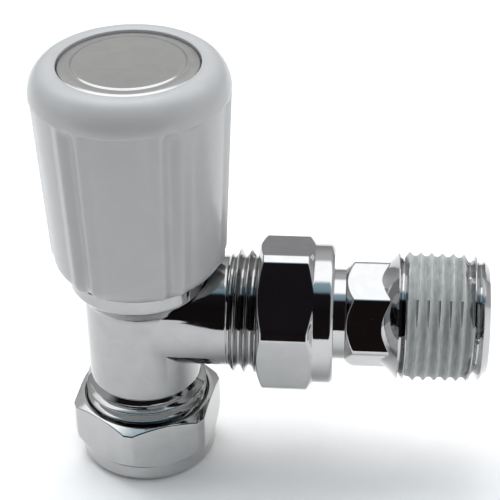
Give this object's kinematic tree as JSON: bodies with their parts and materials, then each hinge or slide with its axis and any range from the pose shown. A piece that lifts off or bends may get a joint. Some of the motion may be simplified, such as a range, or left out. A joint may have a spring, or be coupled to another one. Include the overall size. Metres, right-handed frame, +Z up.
{
  "type": "lockshield valve",
  "caption": "Angle lockshield radiator valve: white lift-off cap over a chrome body, union nut with a threaded radiator tail, compression nut for copper pipe.",
  "frame": {"origin": "centre of the pipe entry, in the plane of the compression nut's lower face", "axes": "+Z up the spindle axis towards the cap, +X out along the radiator tail"},
  "size_m": [0.0741, 0.032, 0.0759],
  "materials": {
    "chrome": "polished chrome plate on brass",
    "brass": "machined",
    "steel": "spring steel",
    "rubber": "matt black EPDM",
    "seal": "off-white PTFE and fibre",
    "white_plastic": "white moulded plastic, soft gloss"
  },
  "bodies": {
    "valve": {"valve_body": "chrome", "bonnet": "brass", "bonnet_seal": "seal", "thrust_washer": "seal", "gland_packing": "seal", "gland_nut": "brass"},
    "spindle": {"spindle": "brass", "spindle_seal": "rubber", "spindle_circlip": "steel"},
    "plug": {"valve_plug": "brass", "seat_washer": "rubber", "washer_screw": "brass"},
    "cap_grip": {"cap_grip_ring": "rubber"},
    "cap": {"lockshield_cap": "white_plastic", "cap_disc": "chrome"},
    "tail": {"tailpiece": "chrome", "union_thrust_ring": "steel", "union_seal": "rubber"},
    "union_nut": {"union_nut": "chrome"},
    "olive": {"olive": "brass"},
    "compression_nut": {"compression_nut": "chrome"}
  },
  "joints": [
    {"name": "cap_spin", "type": "hinge", "parent": "valve", "child": "cap_grip", "pos_m": [0, 0, 0.0527], "axis": [0, 0, 1], "continuous": true},
    {"name": "cap_lift", "type": "slide", "parent": "cap_grip", "child": "cap", "axis": [0, 0, 1], "range_m": [0, 0.035]},
    {"name": "spindle_turn", "type": "hinge", "parent": "valve", "child": "spindle", "pos_m": [0, 0, 0.0448], "axis": [0, 0, 1], "range_deg": [0, 1440]},
    {"name": "plug_lift", "type": "slide", "parent": "valve", "child": "plug", "axis": [0, 0, 1], "range_m": [0, 0.004]},
    {"name": "tail_draw", "type": "slide", "parent": "valve", "child": "tail", "axis": [1, 0, 0], "range_m": [0, 0.00726]},
    {"name": "union_turn", "type": "hinge", "parent": "tail", "child": "union_nut", "pos_m": [0.0264, 0, 0.0292], "axis": [1, 0, 0], "range_deg": [0, 1440]},
    {"name": "olive_draw", "type": "slide", "parent": "valve", "child": "olive", "axis": [0, 0, -1], "range_m": [0, 0.00635]},
    {"name": "compression_turn", "type": "hinge", "parent": "olive", "child": "compression_nut", "pos_m": [0, 0, 0.006], "axis": [0, 0, -1], "range_deg": [0, 1260]}
  ],
  "couplings": [
    {"joint": "spindle_turn", "follows": "plug_lift", "rad_per_m": 6283.2},
    {"joint": "union_turn", "follows": "tail_draw", "rad_per_m": 3463.7},
    {"joint": "compression_turn", "follows": "olive_draw", "rad_per_m": 3463.7}
  ]
}
